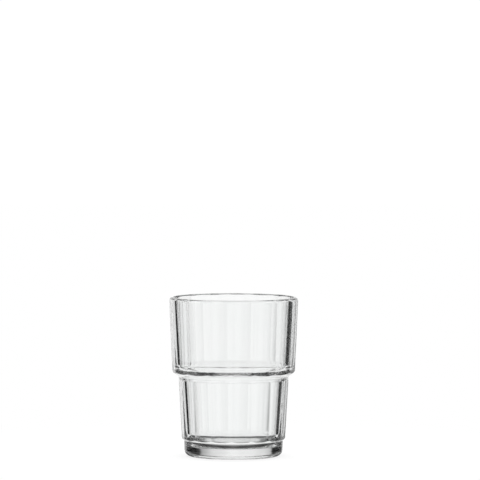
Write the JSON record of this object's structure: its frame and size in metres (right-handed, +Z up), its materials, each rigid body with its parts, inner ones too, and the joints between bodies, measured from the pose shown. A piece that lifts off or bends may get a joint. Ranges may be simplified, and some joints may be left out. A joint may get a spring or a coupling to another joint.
{
  "type": "cortado glass",
  "caption": "Clear pressed glass tumbler with flat panels, a stacking shoulder between a wider upper and a narrower lower body, and a thick round foot, for a short coffee with milk.",
  "frame": {"origin": "middle of the flat underside, on the surface the glass stands on", "axes": "+Z up along the axis of the glass; -Y is the side that faces the camera in the picture; the panels are evenly spaced around +Z"},
  "size_m": [0.0658, 0.0658, 0.0812],
  "materials": {
    "glass": "clear pressed soda-lime glass, fire polished"
  },
  "bodies": {
    "root": {"heavy_base": "glass", "lower_wall": "glass", "stacking_shoulder": "glass", "upper_wall": "glass", "rim": "glass"}
  },
  "joints": []
}
